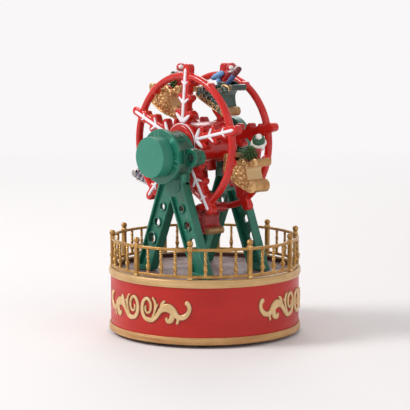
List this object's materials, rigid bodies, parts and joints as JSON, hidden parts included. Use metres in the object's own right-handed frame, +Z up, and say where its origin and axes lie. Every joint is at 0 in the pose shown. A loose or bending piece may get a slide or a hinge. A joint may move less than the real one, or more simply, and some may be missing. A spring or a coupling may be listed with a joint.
{
  "type": "ferris wheel decoration",
  "caption": "Tabletop ferris wheel: snowflake wheel with hanging sleighs, wound from a drive head, on a round fenced plinth.",
  "frame": {"origin": "centre of the plinth on the table, under the rubber feet", "axes": "+Z up, the wheel axle along Y, the drive head towards -Y"},
  "size_m": [0.14, 0.14, 0.196],
  "materials": {
    "red_gloss": "glossy red moulded plastic",
    "red_paint": "satin red paint",
    "green_gloss": "glossy teal green moulded plastic",
    "gold_paint": "pale gold paint with light wear",
    "bronze_paint": "bronze gold paint with darker recesses",
    "deck_paint": "dusty brown grey paint",
    "white_paint": "white enamel",
    "black_rubber": "matt black rubber",
    "steel": "plain steel",
    "brass": "plain brass",
    "grey_plastic": "matt grey plastic",
    "dark_green_paint": "dark green paint with gold edging",
    "tree_green": "matt leaf green paint",
    "blue_paint": "light blue paint",
    "purple_paint": "dusky purple paint"
  },
  "bodies": {
    "plinth": {"base_shell": "red_paint", "bottom_cover": "grey_plastic", "cover_screw_1": "steel", "cover_screw_2": "steel", "cover_screw_3": "steel", "deck": "deck_paint", "fence_front": "bronze_paint", "fence_rear": "bronze_paint", "front_bush": "brass", "front_stand": "green_gloss", "head_case_front": "green_gloss", "head_screw_1": "steel", "head_screw_2": "steel", "lower_band": "gold_paint", "rear_bush": "brass", "rear_stand": "green_gloss", "rubber_foot_1": "black_rubber", "rubber_foot_2": "black_rubber", "rubber_foot_3": "black_rubber", "scroll_front_left": "gold_paint", "scroll_front_right": "gold_paint", "scroll_rear_left": "gold_paint", "scroll_rear_right": "gold_paint", "scroll_right_left": "gold_paint", "scroll_right_right": "gold_paint", "stand_screw_1": "steel", "stand_screw_2": "steel", "stand_screw_3": "steel", "stand_screw_4": "steel", "upper_band": "gold_paint"},
    "wheel": {"front_rim": "red_gloss", "rear_rim": "red_gloss", "front_rim_inlay": "white_paint", "rear_rim_inlay": "white_paint", "front_rim_hub_cap": "red_gloss", "rear_rim_hub_cap": "red_gloss", "centre_drum": "red_gloss", "wheel_axle": "steel", "axle_pinion": "brass"},
    "gondola_1": {"sleigh_1": "gold_paint", "figure_1": "red_paint", "tree_1": "tree_green"},
    "gondola_2": {"sleigh_2": "dark_green_paint", "figure_2": "red_paint", "gift_2": "blue_paint", "stocking_2": "blue_paint"},
    "gondola_3": {"sleigh_3": "gold_paint", "figure_3": "white_paint", "tree_3": "tree_green"},
    "gondola_4": {"sleigh_4": "red_paint", "figure_4": "white_paint"},
    "gondola_5": {"sleigh_5": "purple_paint", "tree_5": "tree_green"},
    "winder": {"winding_cap": "green_gloss", "winding_arbor": "steel", "ratchet_wheel": "brass"},
    "pawl": {"ratchet_pawl": "steel"},
    "barrel": {"spring_barrel": "brass", "mainspring": "steel"}
  },
  "joints": [
    {"name": "wheel_spin", "type": "hinge", "parent": "plinth", "child": "wheel", "pos_m": [0, -0.002, 0.1383], "axis": [0, 1, 0], "continuous": true},
    {"name": "winder_turn", "type": "hinge", "parent": "plinth", "child": "winder", "pos_m": [0, -0.045, 0.1299], "axis": [0, 1, 0], "range_deg": [0, 1440]},
    {"name": "pawl_lift", "type": "hinge", "parent": "plinth", "child": "pawl", "pos_m": [0.0105, -0.0411, 0.1349], "axis": [0, 1, 0], "range_deg": [0, 12]},
    {"name": "barrel_turn", "type": "hinge", "parent": "plinth", "child": "barrel", "pos_m": [0, -0.036, 0.1299], "axis": [0, 1, 0], "continuous": true},
    {"name": "gondola_1_swing", "type": "hinge", "parent": "wheel", "child": "gondola_1", "pos_m": [-0.03111, -0.002, 0.17498], "axis": [0, 1, 0], "continuous": true},
    {"name": "gondola_2_swing", "type": "hinge", "parent": "wheel", "child": "gondola_2", "pos_m": [0.02527, -0.002, 0.17922], "axis": [0, 1, 0], "continuous": true},
    {"name": "gondola_3_swing", "type": "hinge", "parent": "wheel", "child": "gondola_3", "pos_m": [0.04673, -0.002, 0.12691], "axis": [0, 1, 0], "continuous": true},
    {"name": "gondola_4_swing", "type": "hinge", "parent": "wheel", "child": "gondola_4", "pos_m": [0.00361, -0.002, 0.09033], "axis": [0, 1, 0], "continuous": true},
    {"name": "gondola_5_swing", "type": "hinge", "parent": "wheel", "child": "gondola_5", "pos_m": [-0.0445, -0.002, 0.12005], "axis": [0, 1, 0], "continuous": true}
  ],
  "couplings": [
    {"joint": "barrel_turn", "follows": "wheel_spin", "ratio": -0.5}
  ]
}
